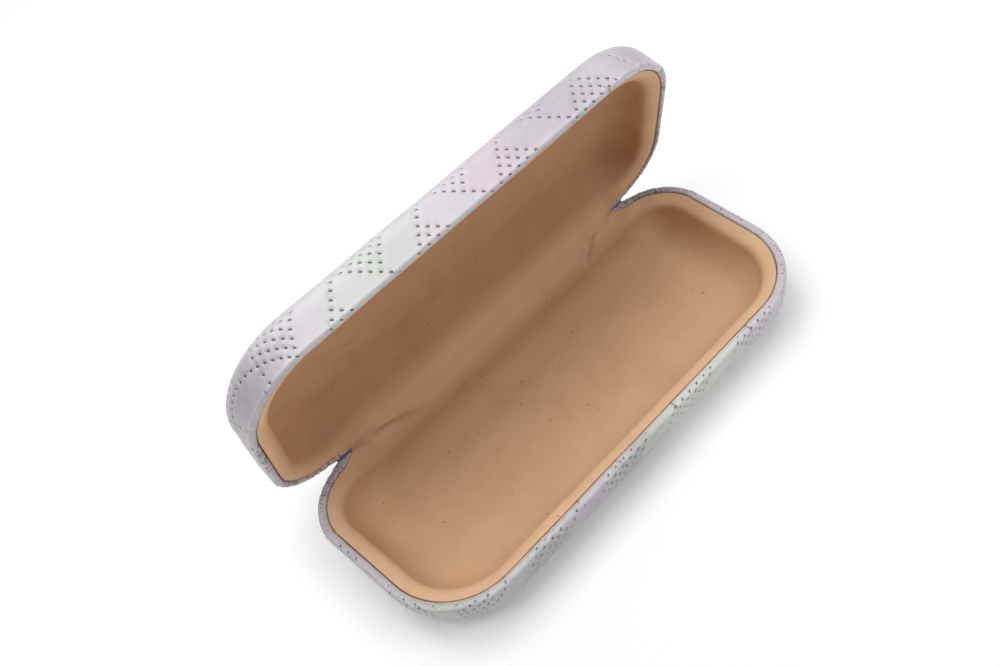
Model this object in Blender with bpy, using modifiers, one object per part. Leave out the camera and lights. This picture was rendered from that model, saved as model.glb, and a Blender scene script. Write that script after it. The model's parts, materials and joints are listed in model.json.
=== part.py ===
"""Hard clamshell eyeglasses case, standing open: two pressed steel halves in an embossed
leatherette cover, a flocked lining, and a wire-pin hinge with two snap springs.

Frame: the origin is the centre of the flat underside, +X runs along the hinge, +Y points to
the hinge side (the back) and +Z up. Each half is drawn in hinge coordinates, with the hinge
axis as X, y negative towards the front, and depths measured from the rim plane.
"""

import math

import bmesh
import bpy
from mathutils import Matrix, Vector

MM = 0.001

# Plan of the inner rim line, where the cover's turned-over edge meets the lining.
REAR_HALF_LENGTH = 80.7 * MM
FRONT_HALF_LENGTH = 74.3 * MM
RIM_DEPTH = 64.0 * MM
REAR_CORNER_RADIUS = 15.7 * MM
FRONT_CORNER_RADIUS = 24.0 * MM
SMALLEST_CORNER_RADIUS = 9.0 * MM
HINGE_SETBACK = 2.4 * MM
ARC_STEPS = 6

# Each half: height of its wall, dome of its flat, run and rise of its rounded edge, and how
# far in front of the hinge axis its rivets end, flush with the steel.
BASE = {
    "height": 16.0 * MM,
    "dome": 0.0,
    "run": 15.0 * MM,
    "rise": 14.4 * MM,
    "rivet_tail": 1.8 * MM,
}
LID = {
    "height": 15.0 * MM,
    "dome": 1.0 * MM,
    "run": 8.6 * MM,
    "rise": 7.0 * MM,
    "rivet_tail": 1.3 * MM,
}
DOME_RUN = 12.0 * MM
EDGE_STEPS = 5
OPEN_ANGLE = math.radians(70)

# The wall, from the outside in: cover, clearance, steel, clearance, turned-in hem.
RIM_WIDTH = 2.2 * MM
RIM_GAP = 0.15 * MM
ROLL_RISE = 0.65 * MM
ROLL_STEPS = 4
COVER_THICKNESS = 0.6 * MM
HEM_DEPTH = 2.3 * MM
STEEL_THICKNESS = 0.5 * MM
STEEL_INSET = 0.85 * MM
STEEL_EDGE_DEPTH = 1.05 * MM

# The lining's tray: a sloping lip, then one rounded sweep down to a flat floor.
LINER_THICKNESS = 0.5 * MM
LINER_EDGE = (-0.55 * MM, 0.7 * MM)
LINER_LIP_END = (-3.9 * MM, 2.3 * MM)
LINER_WALL_TOP = (-5.2 * MM, 4.0 * MM)
LINER_SWEEP_RUN = 8.8 * MM
LINER_FLOOR_INSET = 2.15 * MM

# The stretch of the back wall that stays open for the hinge.
NOTCH_HALF_LENGTH = 55.0 * MM
COVER_NOTCH_DEPTH = 4.2 * MM
STEEL_NOTCH_DEPTH = 3.0 * MM

# Hinge leaves, drawn at mid-thickness, with knuckles curled round a wire pin.
LEAF_HALF_LENGTH = 54.0 * MM
LEAF_THICKNESS = 0.5 * MM
LEAF_SETBACK = 3.5 * MM
LEAF_NEAR_EDGE = 2.6 * MM
LEAF_FAR_EDGE = 6.8 * MM
KNUCKLE_RADIUS = 1.05 * MM
KNUCKLE_WRAP = math.radians(225)
KNUCKLE_STEPS = 8
BASE_KNUCKLES = ((-54.0, -49.4), (-26.6, -10.4), (10.4, 26.6), (49.4, 54.0))
LID_KNUCKLES = ((-49.0, -27.0), (-10.0, 10.0), (27.0, 49.0))
PIN_RADIUS = 0.55 * MM
PIN_HALF_LENGTH = 54.4 * MM

# Snap springs: blades behind the base leaf that press on the lid's outer knuckles.
SPRING_THICKNESS = 0.3 * MM
SPRING_SPANS = {"left": (-48.6, -27.4), "right": (27.4, 48.6)}
SPRING_PATH = ((-4.1, 6.6), (-4.1, 2.3), (-1.65, 0.55))

# Rivets through leaf and steel. Those of the springs are longer by the blade they hold.
RIVET_DEPTH = 5.0 * MM
RIVET_GRIP = 3.85 * MM
SPRING_RIVET_GRIP = 4.35 * MM
RIVET_RADIUS = 0.7 * MM
RIVET_HEAD_RADIUS = 1.3 * MM
RIVET_HEAD_HEIGHT = 0.5 * MM
RIVET_HOLE_RADIUS = 1.0 * MM
RIVET_STEPS = 12
BASE_RIVETS = {"outer_left": -43.0, "inner_left": -33.0, "centre_left": -18.5}
LID_RIVETS = {"outer_left": -38.0, "centre_left": -5.0}

# Soft strips that bridge the halves over the hinge: the spine outside, the lining inside.
SPINE_HALF_LENGTH = 54.6 * MM
SPINE_THICKNESS = 0.6 * MM
SPINE_BEND_RADIUS = 1.95 * MM
SPINE_WALL = ((-0.5, -3.9), (-0.5, -3.0), (0.05, -2.4))
BRIDGE_HALF_LENGTH = 54.0 * MM
BRIDGE_THICKNESS = 0.5 * MM
BRIDGE_BEND_RADIUS = 2.45 * MM
BRIDGE_SPREAD = math.radians(43)
BRIDGE_STEPS = 4

HINGE_AXIS = Vector((0, RIM_DEPTH / 2 + HINGE_SETBACK, BASE["height"]))

COLOURS = {
    "leatherette": ((0.62, 0.58, 0.65), 0.35, 0.0),
    "lining": ((0.62, 0.37, 0.21), 0.95, 0.0),
    "pressed_steel": ((0.55, 0.55, 0.56), 0.4, 1.0),
    "hinge_steel": ((0.45, 0.45, 0.47), 0.35, 1.0),
    "spring_steel": ((0.33, 0.34, 0.37), 0.3, 1.0),
    "rivet_metal": ((0.75, 0.73, 0.68), 0.3, 1.0),
}


def clear_scene():
    for old in list(bpy.data.objects):
        bpy.data.objects.remove(old)


def new_collection(name):
    collection = bpy.data.collections.new(name)
    bpy.context.scene.collection.children.link(collection)
    return collection


def material(name):
    made = bpy.data.materials.get(name)
    if made is None:
        colour, roughness, metallic = COLOURS[name]
        made = bpy.data.materials.new(name)
        made.use_nodes = True
        shader = made.node_tree.nodes["Principled BSDF"]
        shader.inputs["Base Color"].default_value = (*colour, 1)
        shader.inputs["Roughness"].default_value = roughness
        shader.inputs["Metallic"].default_value = metallic
    return made


class Half:
    """One half of the case: where its pieces go, and which way its depths run."""

    def __init__(self, name, sizes, side, angle):
        self.name = name
        self.sizes = sizes
        self.side = side
        self.pivot = bpy.data.objects.new(name + "_pivot", None)
        PARTS.objects.link(self.pivot)
        self.pivot.location = HINGE_AXIS
        self.pivot.rotation_euler.x = angle

    def add(self, name, data, slot):
        """A piece in hinge coordinates, as its own object on this half's pivot."""
        made = bpy.data.objects.new(name, data)
        PARTS.objects.link(made)
        made.parent = self.pivot
        data.materials.append(material(slot))
        return made

    def add_cutter(self, name, data):
        made = bpy.data.objects.new(name, data)
        CUTTERS.objects.link(made)
        made.parent = self.pivot
        made.hide_render = True
        made.display_type = "WIRE"
        return made


def finished(bm, name):
    """The bmesh as a smooth-shaded mesh."""
    mesh = bpy.data.meshes.new(name)
    bm.to_mesh(mesh)
    bm.free()
    mesh.shade_smooth()
    return mesh


def thicken(piece, thickness, offset):
    """Solidifies an open surface: offset -1 goes behind its face side, 0 to both sides."""
    solidify = piece.modifiers.new("thickness", "SOLIDIFY")
    solidify.thickness = thickness
    solidify.offset = offset
    solidify.use_even_offset = True


def cut(piece, cutters):
    for cutter in cutters:
        boolean = piece.modifiers.new(cutter.name, "BOOLEAN")
        boolean.operation = "DIFFERENCE"
        boolean.solver = "EXACT"
        boolean.object = cutter


# --- outline, profiles and dishes ---------------------------------------------------------


def outline(offset):
    """The plan, moved outwards by offset: a trapezoid with four rounded corners, as
    counter-clockwise points in hinge coordinates."""
    back = -HINGE_SETBACK
    front = back - RIM_DEPTH
    corners = (
        (Vector((REAR_HALF_LENGTH, back)), REAR_CORNER_RADIUS),
        (Vector((-REAR_HALF_LENGTH, back)), REAR_CORNER_RADIUS),
        (Vector((-FRONT_HALF_LENGTH, front)), FRONT_CORNER_RADIUS),
        (Vector((FRONT_HALF_LENGTH, front)), FRONT_CORNER_RADIUS),
    )
    points = []
    for i, (corner, radius) in enumerate(corners):
        arriving = (corner - corners[i - 1][0]).normalized()
        leaving = (corners[(i + 1) % 4][0] - corner).normalized()
        half_corner_sine = math.sqrt((1 + arriving.dot(leaving)) / 2)
        bend = max(radius + offset, SMALLEST_CORNER_RADIUS)
        centre = corner + (leaving - arriving).normalized() * (bend - offset) / half_corner_sine
        start = math.atan2(-arriving.x, arriving.y)
        turn = arriving.angle(leaving)
        for step in range(ARC_STEPS + 1):
            angle = start + turn * step / ARC_STEPS
            points.append(centre + bend * Vector((math.cos(angle), math.sin(angle))))
    return points


def quarter(start, run, rise):
    """A rounded edge in (offset, depth): from straight down at start to flat, inwards."""
    angles = [math.pi / 2 * step / EDGE_STEPS for step in range(EDGE_STEPS + 1)]
    return [(start[0] - run * (1 - math.cos(a)), start[1] + rise * math.sin(a)) for a in angles]


def wall(sizes, inset):
    """(offset, depth) down the outside of the wall, round its edge and up the dome, moved
    inwards by inset."""
    top = (RIM_WIDTH - inset, sizes["height"] - sizes["rise"])
    points = quarter(top, sizes["run"] - inset, sizes["rise"] - inset)
    if sizes["dome"]:
        last = points[-1]
        points.append((last[0] - DOME_RUN, last[1] + sizes["dome"]))
    return points


def cover_profile(sizes):
    """Up the turned-in hem, over the rim in a half-round roll, and down the outside."""
    points = [(0, HEM_DEPTH)]
    for step in range(ROLL_STEPS + 1):
        angle = math.pi * (1 - step / ROLL_STEPS)
        offset = RIM_WIDTH / 2 * (1 + math.cos(angle))
        points.append((offset, RIM_GAP + ROLL_RISE * (1 - math.sin(angle))))
    return points + wall(sizes, 0)


def steel_profile(sizes):
    return [(RIM_WIDTH - STEEL_INSET, STEEL_EDGE_DEPTH)] + wall(sizes, STEEL_INSET)


def liner_profile(sizes):
    floor = sizes["height"] - LINER_FLOOR_INSET
    sweep = quarter(LINER_WALL_TOP, LINER_SWEEP_RUN, floor - LINER_WALL_TOP[1])
    return [LINER_EDGE, LINER_LIP_END] + sweep


def dish(half, name, profile, faces_inwards):
    """An open dish: one ring of the outline for each (offset, depth), and a flat bottom."""
    bm = bmesh.new()
    rings = []
    for offset, depth in profile:
        rings.append([bm.verts.new((*p, half.side * depth)) for p in outline(offset)])
    count = len(rings[0])
    for upper, lower in zip(rings, rings[1:]):
        for i in range(count):
            j = (i + 1) % count
            bm.faces.new((upper[i], lower[i], lower[j], upper[j]))
    bm.faces.new(reversed(rings[-1]))
    if faces_inwards != (half.side > 0):
        bmesh.ops.reverse_faces(bm, faces=bm.faces[:])
    return finished(bm, name)


def box(name, low, high):
    bm = bmesh.new()
    bmesh.ops.create_cube(bm, size=1)
    size = Vector(high) - Vector(low)
    middle = (Vector(high) + Vector(low)) / 2
    bmesh.ops.transform(bm, verts=bm.verts, matrix=Matrix.LocRotScale(middle, None, size))
    return finished(bm, name)


def hinge_notch(half, name, depth):
    """Cuts the back wall away over the hinge, from above the rim down to depth."""
    near, far = sorted((-half.side * MM, half.side * depth))
    low = (-NOTCH_HALF_LENGTH, -HINGE_SETBACK - MM, near)
    high = (NOTCH_HALF_LENGTH, MM, far)
    return half.add_cutter(name, box(name, low, high))


# --- strips, rivets and wire --------------------------------------------------------------


def strip(bm, path, x_start, x_end):
    """Adds the surface that a (y, z) path sweeps along X."""
    start = [bm.verts.new((x_start, y, z)) for y, z in path]
    edges = [bm.edges.new(pair) for pair in zip(start, start[1:])]
    swept = bmesh.ops.extrude_edge_only(bm, edges=edges)["geom"]
    moved = [v for v in swept if isinstance(v, bmesh.types.BMVert)]
    bmesh.ops.translate(bm, verts=moved, vec=(x_end - x_start, 0, 0))


def bridge_point(point):
    """A (y, z) point on the base's side of the hinge, carried to its place on the open lid."""
    y, z = point[0], -point[1]
    sine, cosine = math.sin(OPEN_ANGLE), math.cos(OPEN_ANGLE)
    return (y * cosine + z * sine, z * cosine - y * sine)


def polar(radius, angle):
    return (radius * math.cos(angle), radius * math.sin(angle))


def knuckle_path(half):
    """From the leaf's near edge, on its tangent to the knuckle and round the pin."""
    reach = math.hypot(LEAF_SETBACK, LEAF_NEAR_EDGE)
    leaf_angle = math.atan2(LEAF_NEAR_EDGE, -LEAF_SETBACK)
    start = leaf_angle + math.acos(KNUCKLE_RADIUS / reach)
    path = [(-LEAF_SETBACK, LEAF_NEAR_EDGE)]
    for step in range(KNUCKLE_STEPS + 1):
        path.append(polar(KNUCKLE_RADIUS, start + KNUCKLE_WRAP * step / KNUCKLE_STEPS))
    return [(y, half.side * depth) for y, depth in path]


def hinge_leaf(half, knuckles):
    name = half.name + "_hinge_leaf"
    plate = [(-LEAF_SETBACK, half.side * d) for d in (LEAF_FAR_EDGE, LEAF_NEAR_EDGE)]
    ends = {-LEAF_HALF_LENGTH, LEAF_HALF_LENGTH}
    ends |= {x * MM for span in knuckles for x in span}
    ends = sorted(ends)
    bm = bmesh.new()
    for x_start, x_end in zip(ends, ends[1:]):
        strip(bm, plate, x_start, x_end)
    for x_start, x_end in knuckles:
        strip(bm, knuckle_path(half), x_start * MM, x_end * MM)
    bmesh.ops.remove_doubles(bm, verts=bm.verts, dist=1e-6)
    bmesh.ops.recalc_face_normals(bm, faces=bm.faces)
    leaf = half.add(name, finished(bm, name), "hinge_steel")
    thicken(leaf, LEAF_THICKNESS, 0)
    return leaf


def rivet_profile(grip, tail):
    """(radius, y) from the head's crown, at the inside, to the flush tail."""
    crown = RIVET_HEAD_RADIUS
    return (
        (0, -grip - RIVET_HEAD_HEIGHT),
        (crown * 0.6, -grip - RIVET_HEAD_HEIGHT * 0.85),
        (crown, -grip - RIVET_HEAD_HEIGHT * 0.25),
        (crown, -grip),
        (RIVET_RADIUS, -grip),
        (RIVET_RADIUS, -tail),
        (0, -tail),
    )


def rivet(half, label, x, grip):
    """A turned rivet with its axis along Y, its head inside the case."""
    name = half.name + "_rivet_" + label
    bm = bmesh.new()
    profile = rivet_profile(grip, half.sizes["rivet_tail"])
    points = [bm.verts.new((radius, 0, -y)) for radius, y in profile]
    for pair in zip(points, points[1:]):
        bm.edges.new(pair)
    made = half.add(name, finished(bm, name), "rivet_metal")
    turn = made.modifiers.new("turn", "SCREW")
    turn.steps = RIVET_STEPS
    turn.render_steps = RIVET_STEPS
    turn.use_merge_vertices = True
    turn.merge_threshold = 1e-6
    made.rotation_euler.x = math.pi / 2
    made.location = (x * MM, 0, half.side * RIVET_DEPTH)


def rivet_hole(half, label, x):
    name = half.name + "_rivet_hole_" + label
    bm = bmesh.new()
    bmesh.ops.create_cone(
        bm,
        cap_ends=True,
        segments=RIVET_STEPS,
        radius1=RIVET_HOLE_RADIUS,
        radius2=RIVET_HOLE_RADIUS,
        depth=8 * MM,
    )
    hole = half.add_cutter(name, finished(bm, name))
    hole.rotation_euler.x = math.pi / 2
    hole.location = (x * MM, -RIVET_GRIP, half.side * RIVET_DEPTH)
    return hole


def both_ends(places):
    """The named places on the left of the hinge, and their mirror images on the right."""
    mirrored = {label.replace("left", "right"): -x for label, x in places.items()}
    return {**places, **mirrored}


def hinge_pin(half):
    curve = bpy.data.curves.new("hinge_pin", "CURVE")
    curve.dimensions = "3D"
    curve.bevel_depth = PIN_RADIUS
    curve.bevel_resolution = 2
    curve.use_fill_caps = True
    wire = curve.splines.new("POLY")
    wire.points.add(1)
    wire.points[0].co = (-PIN_HALF_LENGTH, 0, 0, 1)
    wire.points[1].co = (PIN_HALF_LENGTH, 0, 0, 1)
    half.add("hinge_pin", curve, "hinge_steel")


def soft_strip(half, name, path, half_length, thickness, slot):
    bm = bmesh.new()
    strip(bm, path, -half_length, half_length)
    piece = half.add(name, finished(bm, name), slot)
    thicken(piece, thickness, 0)


# --- the case -----------------------------------------------------------------------------


def build_shells(half):
    """Cover, steel and lining of one half. Returns the steel, which the rivets pass."""
    cover = half.add(
        half.name + "_cover",
        dish(half, half.name + "_cover", cover_profile(half.sizes), False),
        "leatherette",
    )
    thicken(cover, COVER_THICKNESS, -1)
    cut(cover, [hinge_notch(half, half.name + "_cover_notch", COVER_NOTCH_DEPTH)])
    steel = half.add(
        half.name + "_shell",
        dish(half, half.name + "_shell", steel_profile(half.sizes), False),
        "pressed_steel",
    )
    thicken(steel, STEEL_THICKNESS, -1)
    cut(steel, [hinge_notch(half, half.name + "_shell_notch", STEEL_NOTCH_DEPTH)])
    liner = half.add(
        half.name + "_liner",
        dish(half, half.name + "_liner", liner_profile(half.sizes), True),
        "lining",
    )
    thicken(liner, LINER_THICKNESS, -1)
    return steel


def build_springs(half):
    springs = []
    for label, (x_start, x_end) in SPRING_SPANS.items():
        name = "snap_spring_" + label
        path = [(y * MM, half.side * depth * MM) for y, depth in SPRING_PATH]
        bm = bmesh.new()
        strip(bm, path, x_start * MM, x_end * MM)
        spring = half.add(name, finished(bm, name), "spring_steel")
        thicken(spring, SPRING_THICKNESS, 0)
        springs.append(spring)
    return springs


def build_rivets(half, places, pieces, long_ones=()):
    """Rivets at the named places, with their holes in each of the pieces."""
    for label, x in both_ends(places).items():
        grip = SPRING_RIVET_GRIP if label.split("_")[0] in long_ones else RIVET_GRIP
        rivet(half, label, x, grip)
        hole = rivet_hole(half, label, x)
        for piece in pieces:
            if not piece.name.startswith("snap") or grip == SPRING_RIVET_GRIP:
                cut(piece, [hole])


def build_spine(half):
    wall_part = [(y * MM, z * MM) for y, z in SPINE_WALL]
    bisector = -OPEN_ANGLE / 2
    wall_part.append(polar(SPINE_BEND_RADIUS, bisector - math.radians(30)))
    lid_part = [bridge_point(point) for point in reversed(wall_part)]
    path = wall_part + [polar(SPINE_BEND_RADIUS, bisector)] + lid_part
    soft_strip(half, "spine_cover", path, SPINE_HALF_LENGTH, SPINE_THICKNESS, "leatherette")


def build_liner_bridge(half):
    bisector = math.pi - OPEN_ANGLE / 2
    path = []
    for step in range(BRIDGE_STEPS + 1):
        angle = bisector + BRIDGE_SPREAD * (1 - 2 * step / BRIDGE_STEPS)
        path.append(polar(BRIDGE_BEND_RADIUS, angle))
    soft_strip(half, "liner_bridge", path, BRIDGE_HALF_LENGTH, BRIDGE_THICKNESS, "lining")


def build():
    base = Half("base", BASE, -1, 0)
    lid = Half("lid", LID, 1, -OPEN_ANGLE)
    base_steel = build_shells(base)
    lid_steel = build_shells(lid)
    base_leaf = hinge_leaf(base, BASE_KNUCKLES)
    lid_leaf = hinge_leaf(lid, LID_KNUCKLES)
    springs = build_springs(base)
    build_rivets(base, BASE_RIVETS, [base_steel, base_leaf, *springs], ("outer", "inner"))
    build_rivets(lid, LID_RIVETS, [lid_steel, lid_leaf])
    hinge_pin(base)
    build_spine(base)
    build_liner_bridge(base)


clear_scene()
PARTS = new_collection("eyeglasses_case")
CUTTERS = new_collection("eyeglasses_case_cutters")
build()
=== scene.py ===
"""Looks of the eyeglasses case: embossed pearl leatherette over both halves and the hinge, one
flocked lining that runs through the whole case, and plated metal for the hinge inside.

Each cover is a flat sheet of leatherette that the pressed steel turns into a dish. So each
surface here is drawn as a flat sheet (plan coordinates in the middle, arc length outwards)
with its embossed dashes on it, and a Cup then carries the sheet's points to the dish.
"""

import json
import math

import bmesh
import bpy
import numpy as np
from mathutils import Matrix, Vector
from mathutils.geometry import delaunay_2d_cdt


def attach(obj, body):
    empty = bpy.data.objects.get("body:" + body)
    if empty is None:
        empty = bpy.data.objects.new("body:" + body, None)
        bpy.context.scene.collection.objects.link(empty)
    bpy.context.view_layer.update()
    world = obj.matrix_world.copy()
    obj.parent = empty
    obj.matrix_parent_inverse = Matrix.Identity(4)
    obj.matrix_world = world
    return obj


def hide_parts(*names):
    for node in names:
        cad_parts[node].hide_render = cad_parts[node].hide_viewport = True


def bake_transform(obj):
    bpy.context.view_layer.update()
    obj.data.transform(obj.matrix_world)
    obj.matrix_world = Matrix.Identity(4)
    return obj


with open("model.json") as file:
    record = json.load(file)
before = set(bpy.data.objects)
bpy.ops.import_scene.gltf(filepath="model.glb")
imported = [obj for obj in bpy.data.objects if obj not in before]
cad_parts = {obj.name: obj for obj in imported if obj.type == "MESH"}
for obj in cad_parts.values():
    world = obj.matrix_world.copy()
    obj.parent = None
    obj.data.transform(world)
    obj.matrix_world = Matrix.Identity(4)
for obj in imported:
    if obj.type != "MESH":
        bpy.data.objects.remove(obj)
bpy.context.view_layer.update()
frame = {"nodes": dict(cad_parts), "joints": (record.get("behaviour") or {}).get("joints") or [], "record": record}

MM = 0.001
JOINT = frame["joints"][0]
HINGE = np.array(JOINT["pos_m"], float)
OPEN_ANGLE = math.radians(JOINT["range_deg"][1])

# The plan of both rims, in hinge coordinates: X along the hinge, y negative to the front.
REAR_HALF_LENGTH = 80.7 * MM
FRONT_HALF_LENGTH = 74.3 * MM
RIM_DEPTH = 64.0 * MM
REAR_RADIUS = 15.7 * MM
FRONT_RADIUS = 24.0 * MM
SETBACK = HINGE[1] - RIM_DEPTH / 2
BACK = -SETBACK
FRONT = BACK - RIM_DEPTH

# Section of the rim: a fold rolled over the steel, from this far outside the rim outline to
# each half's inner line.
RIM_WIDTH = 2.2 * MM
RIM_GAP = 0.15 * MM
ROLL_RISE = 0.65 * MM
HEM_DEPTH = 2.2 * MM
SKIN_THICKNESS = 0.5 * MM
LINING_THICKNESS = 0.35 * MM

# The rim is open over the hinge between these ends, and its fold narrows on the way there.
NOTCH_HALF_LENGTH = 55.0 * MM
NOTCH_DEPTH = 4.0 * MM
LINED_HALF_LENGTH = 58.5 * MM
TAPER_END = 65.0 * MM
FOLD_AT_HINGE = 0.14
BACK_STRIP = BACK - 12 * MM
PRESSED_SHARE = 0.85
SKIN_DIP = 1.3 * MM
LINING_LIFT = 0.5 * MM

# Each half: its height, the run and rise of its rounded edge and how square that is, the dome
# of its outside, the inner line of its fold, and how far round the outline from the middle of
# the back its gathers are dense, on the left (-1) and on the right (1).
BASE = {
    "side": -1,
    "height": 16.0 * MM,
    "run": 15.0 * MM,
    "rise": 14.4 * MM,
    "power": 0.75,
    "dome": 0.0,
    "inner": -0.5 * MM,
    "gathered": {-1: 74 * MM, 1: 88 * MM},
}
LID = {
    "side": 1,
    "height": 15.0 * MM,
    "run": 8.6 * MM,
    "rise": 7.0 * MM,
    "power": 1.0,
    "dome": 1.0 * MM,
    "inner": 0.0,
    "gathered": {-1: 116 * MM, 1: 128 * MM},
}
DOME_RUN = 12.0 * MM

# Tints of the pearl along X, from the left end to the right. The base's darker greys over its left half are partly
# its own tint and partly painted shade on its front wall.
LAVENDER = (0.61, 0.57, 0.625)
PALE = (0.68, 0.64, 0.68)
LILAC = (0.56, 0.51, 0.58)
PINK = (0.68, 0.585, 0.665)
WHITE = (0.64, 0.63, 0.635)
MINT = (0.61, 0.65, 0.60)
SAGE = (0.48, 0.51, 0.465)
OLIVE = (0.27, 0.265, 0.215)
SHADED_GREY = (0.41, 0.405, 0.415)
GREY_LILAC = (0.48, 0.445, 0.495)
LID["pearl"] = (
    (0.0, GREY_LILAC),
    (0.08, LAVENDER),
    (0.15, WHITE),
    (0.21, MINT),
    (0.30, WHITE),
    (0.42, PALE),
    (0.64, PINK),
    (0.82, LILAC),
    (0.92, LAVENDER),
)
# The greys on the left half are partly painted shade on the base's front wall.
BASE["pearl"] = (
    (0.0, GREY_LILAC),
    (0.15, SHADED_GREY),
    (0.30, GREY_LILAC),
    (0.44, SHADED_GREY),
    (0.54, SAGE),
    (0.66, MINT),
    (0.80, MINT),
    (0.88, LAVENDER),
    (1.0, LILAC),
)
# Dark patches painted on the pearl: centre on the sheet in millimetres, radius and tint. The lid's olive patch at
# its right end is painted shade on the end wall, which faces away from the light.
LID["patches"] = (((99.0, -22.0), 38.0, OLIVE),)
BASE["patches"] = (((90.0, 11.0), 34.0, OLIVE), ((-84.0, -70.0), 34.0, SAGE))

# Embossing: dashes on a slanting lattice, whose two steps are given in sheet millimetres. In each
# period there is a square of dashes, and some rows run on as full lines between the squares.
PERIOD = 9
SQUARE_STEPS = 5
LID_LATTICE = {
    "origin": (-37.1, 12.0),
    "right": (1.56, 2.06),
    "left": (-1.725, 1.82),
    "full_rights": (0,),
    "full_lefts": (0,),
}
BASE_LATTICE = {
    "origin": (-48.6, 4.3),
    "right": (1.50, 1.62),
    "left": (-1.722, 1.761),
    "full_rights": (),
    "full_lefts": (0, 5),
}
DASH_HALF_LENGTH = 0.66 * MM
DASH_HALF_WIDTH = 0.33 * MM
DASH_SINK = 0.40 * MM
DASH_POINTS = 7
PLEAT_SINK = 0.32 * MM

# How far apart the points of the cover's sheet are: on the flat, round the wall, along the
# outline, and across the roll.
FLAT_SPACING = 1.6 * MM
WALL_SPACING = 0.5 * MM
LOOP_SPACING = 0.5 * MM
ROLL_SPACING = 0.31 * MM
ROLL_REACH = 5.4 * MM


# --- the plan and the sections ------------------------------------------------------------


class Plan:
    """The rim outline, a trapezoid with rounded corners, symmetric about x = 0."""

    corner = np.array((REAR_HALF_LENGTH, BACK))
    along = np.array((FRONT_HALF_LENGTH - REAR_HALF_LENGTH, -RIM_DEPTH))
    along = along / np.linalg.norm(along)
    outward = np.array((-along[1], along[0]))
    centres = []
    for centre_y, radius in ((BACK - REAR_RADIUS, REAR_RADIUS), (FRONT + FRONT_RADIUS, FRONT_RADIUS)):
        fall = (centre_y - corner[1]) * outward[1]
        centres.append(np.array((corner[0] - (radius + fall) / outward[0], centre_y)))
    side_angle = math.atan2(outward[1], outward[0])

    @classmethod
    def locate(cls, points):
        """Distance outwards from the rim outline, outward normal, and the length along the
        outline from the middle of the back, negative on the left."""
        flip = np.where(points[:, 0] < 0, -1.0, 1.0)
        q = np.stack([np.abs(points[:, 0]), points[:, 1]], 1)
        across = (q - cls.corner) @ cls.outward
        lines = np.stack([q[:, 1] - BACK, across, FRONT - q[:, 1]], 1)
        pick = lines.argmax(1)
        distance = lines.max(1)
        normals = np.array(((0, 1), cls.outward, (0, -1)))[pick]
        rear, front = cls.centres
        rear_arc = REAR_RADIUS * (math.pi / 2 - cls.side_angle)
        side = (front - rear) @ cls.along
        front_arc = FRONT_RADIUS * (cls.side_angle + math.pi / 2)
        starts = (0, rear[0] + rear_arc, rear[0] + rear_arc + side + front_arc)
        length = np.choose(
            pick,
            [q[:, 0], starts[1] + (q - rear) @ cls.along, starts[2] + front[0] - q[:, 0]],
        )
        for centre, radius, is_rear in ((rear, REAR_RADIUS, True), (front, FRONT_RADIUS, False)):
            v = q - centre
            down = v @ cls.along
            inside = (v[:, 0] > 0) & ((down <= 0) if is_rear else (down > 0))
            inside &= (v[:, 1] > 0) if is_rear else (v[:, 1] < v[:, 0] * 1e6)
            size = np.maximum(np.linalg.norm(v, axis=1), 1e-9)
            distance = np.where(inside, size - radius, distance)
            normals = np.where(inside[:, None], v / size[:, None], normals)
            angle = np.arctan2(v[:, 1], v[:, 0])
            if is_rear:
                arc = rear[0] + (math.pi / 2 - angle) * radius
            else:
                arc = starts[1] + side + (cls.side_angle - angle) * radius
            length = np.where(inside, arc, length)
        normals = normals * np.stack([flip, np.ones_like(flip)], 1)
        return distance, normals, length * flip

    @classmethod
    def loop(cls, offset, spacing):
        """Points round the outline moved outwards by offset, clockwise from x = 0 at the back."""
        rear, front = cls.centres
        half = []

        def straight(start, end):
            count = max(1, round(np.linalg.norm(end - start) / spacing))
            for k in range(count):
                half.append(start + (end - start) * k / count)

        def arc(centre, radius, start, end):
            count = max(2, round(radius * (start - end) / spacing))
            for k in range(count):
                angle = start + (end - start) * k / count
                half.append(centre + (radius + offset) * np.array((math.cos(angle), math.sin(angle))))

        notch = np.array((NOTCH_HALF_LENGTH, BACK + offset))
        lined = np.array((LINED_HALF_LENGTH, BACK + offset))
        straight(np.array((0, BACK + offset)), notch)
        straight(notch, lined)
        straight(lined, np.array((rear[0], BACK + offset)))
        arc(rear, REAR_RADIUS, math.pi / 2, cls.side_angle)
        side = cls.outward * (REAR_RADIUS + offset)
        straight(rear + side, front + cls.outward * (FRONT_RADIUS + offset))
        arc(front, FRONT_RADIUS, cls.side_angle, -math.pi / 2)
        straight(np.array((front[0], FRONT - offset)), np.array((0, FRONT - offset)))
        half = np.array(half)
        mirror = half[1:][::-1] * (-1, 1)
        return np.concatenate([half, [(0, FRONT - offset)], mirror])


def quarter(start, run, rise, power=1.0, steps=24):
    """A rounded edge in (offset, depth), from the flat outwards to straight up at start; the
    lower the power, the squarer."""
    points = []
    for angle in np.linspace(math.pi / 2, 0, steps + 1):
        inward = run * (1 - max(0.0, math.cos(angle)) ** power)
        points.append((start[0] - inward, start[1] + rise * math.sin(angle) ** power))
    return points


def skin_section(sizes):
    """(offset, depth) from the flat's edge outwards, up the wall, over the roll, down the hem."""
    top = (RIM_WIDTH, sizes["height"] - sizes["rise"])
    points = quarter(top, sizes["run"], sizes["rise"], sizes["power"])
    for angle in np.linspace(0, math.pi, 15):
        offset = RIM_WIDTH - (RIM_WIDTH - sizes["inner"]) / 2 * (1 - math.cos(angle))
        points.append((offset, RIM_GAP + ROLL_RISE * (1 - math.sin(angle))))
    points.append((sizes["inner"], HEM_DEPTH))
    return np.array(points)


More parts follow.
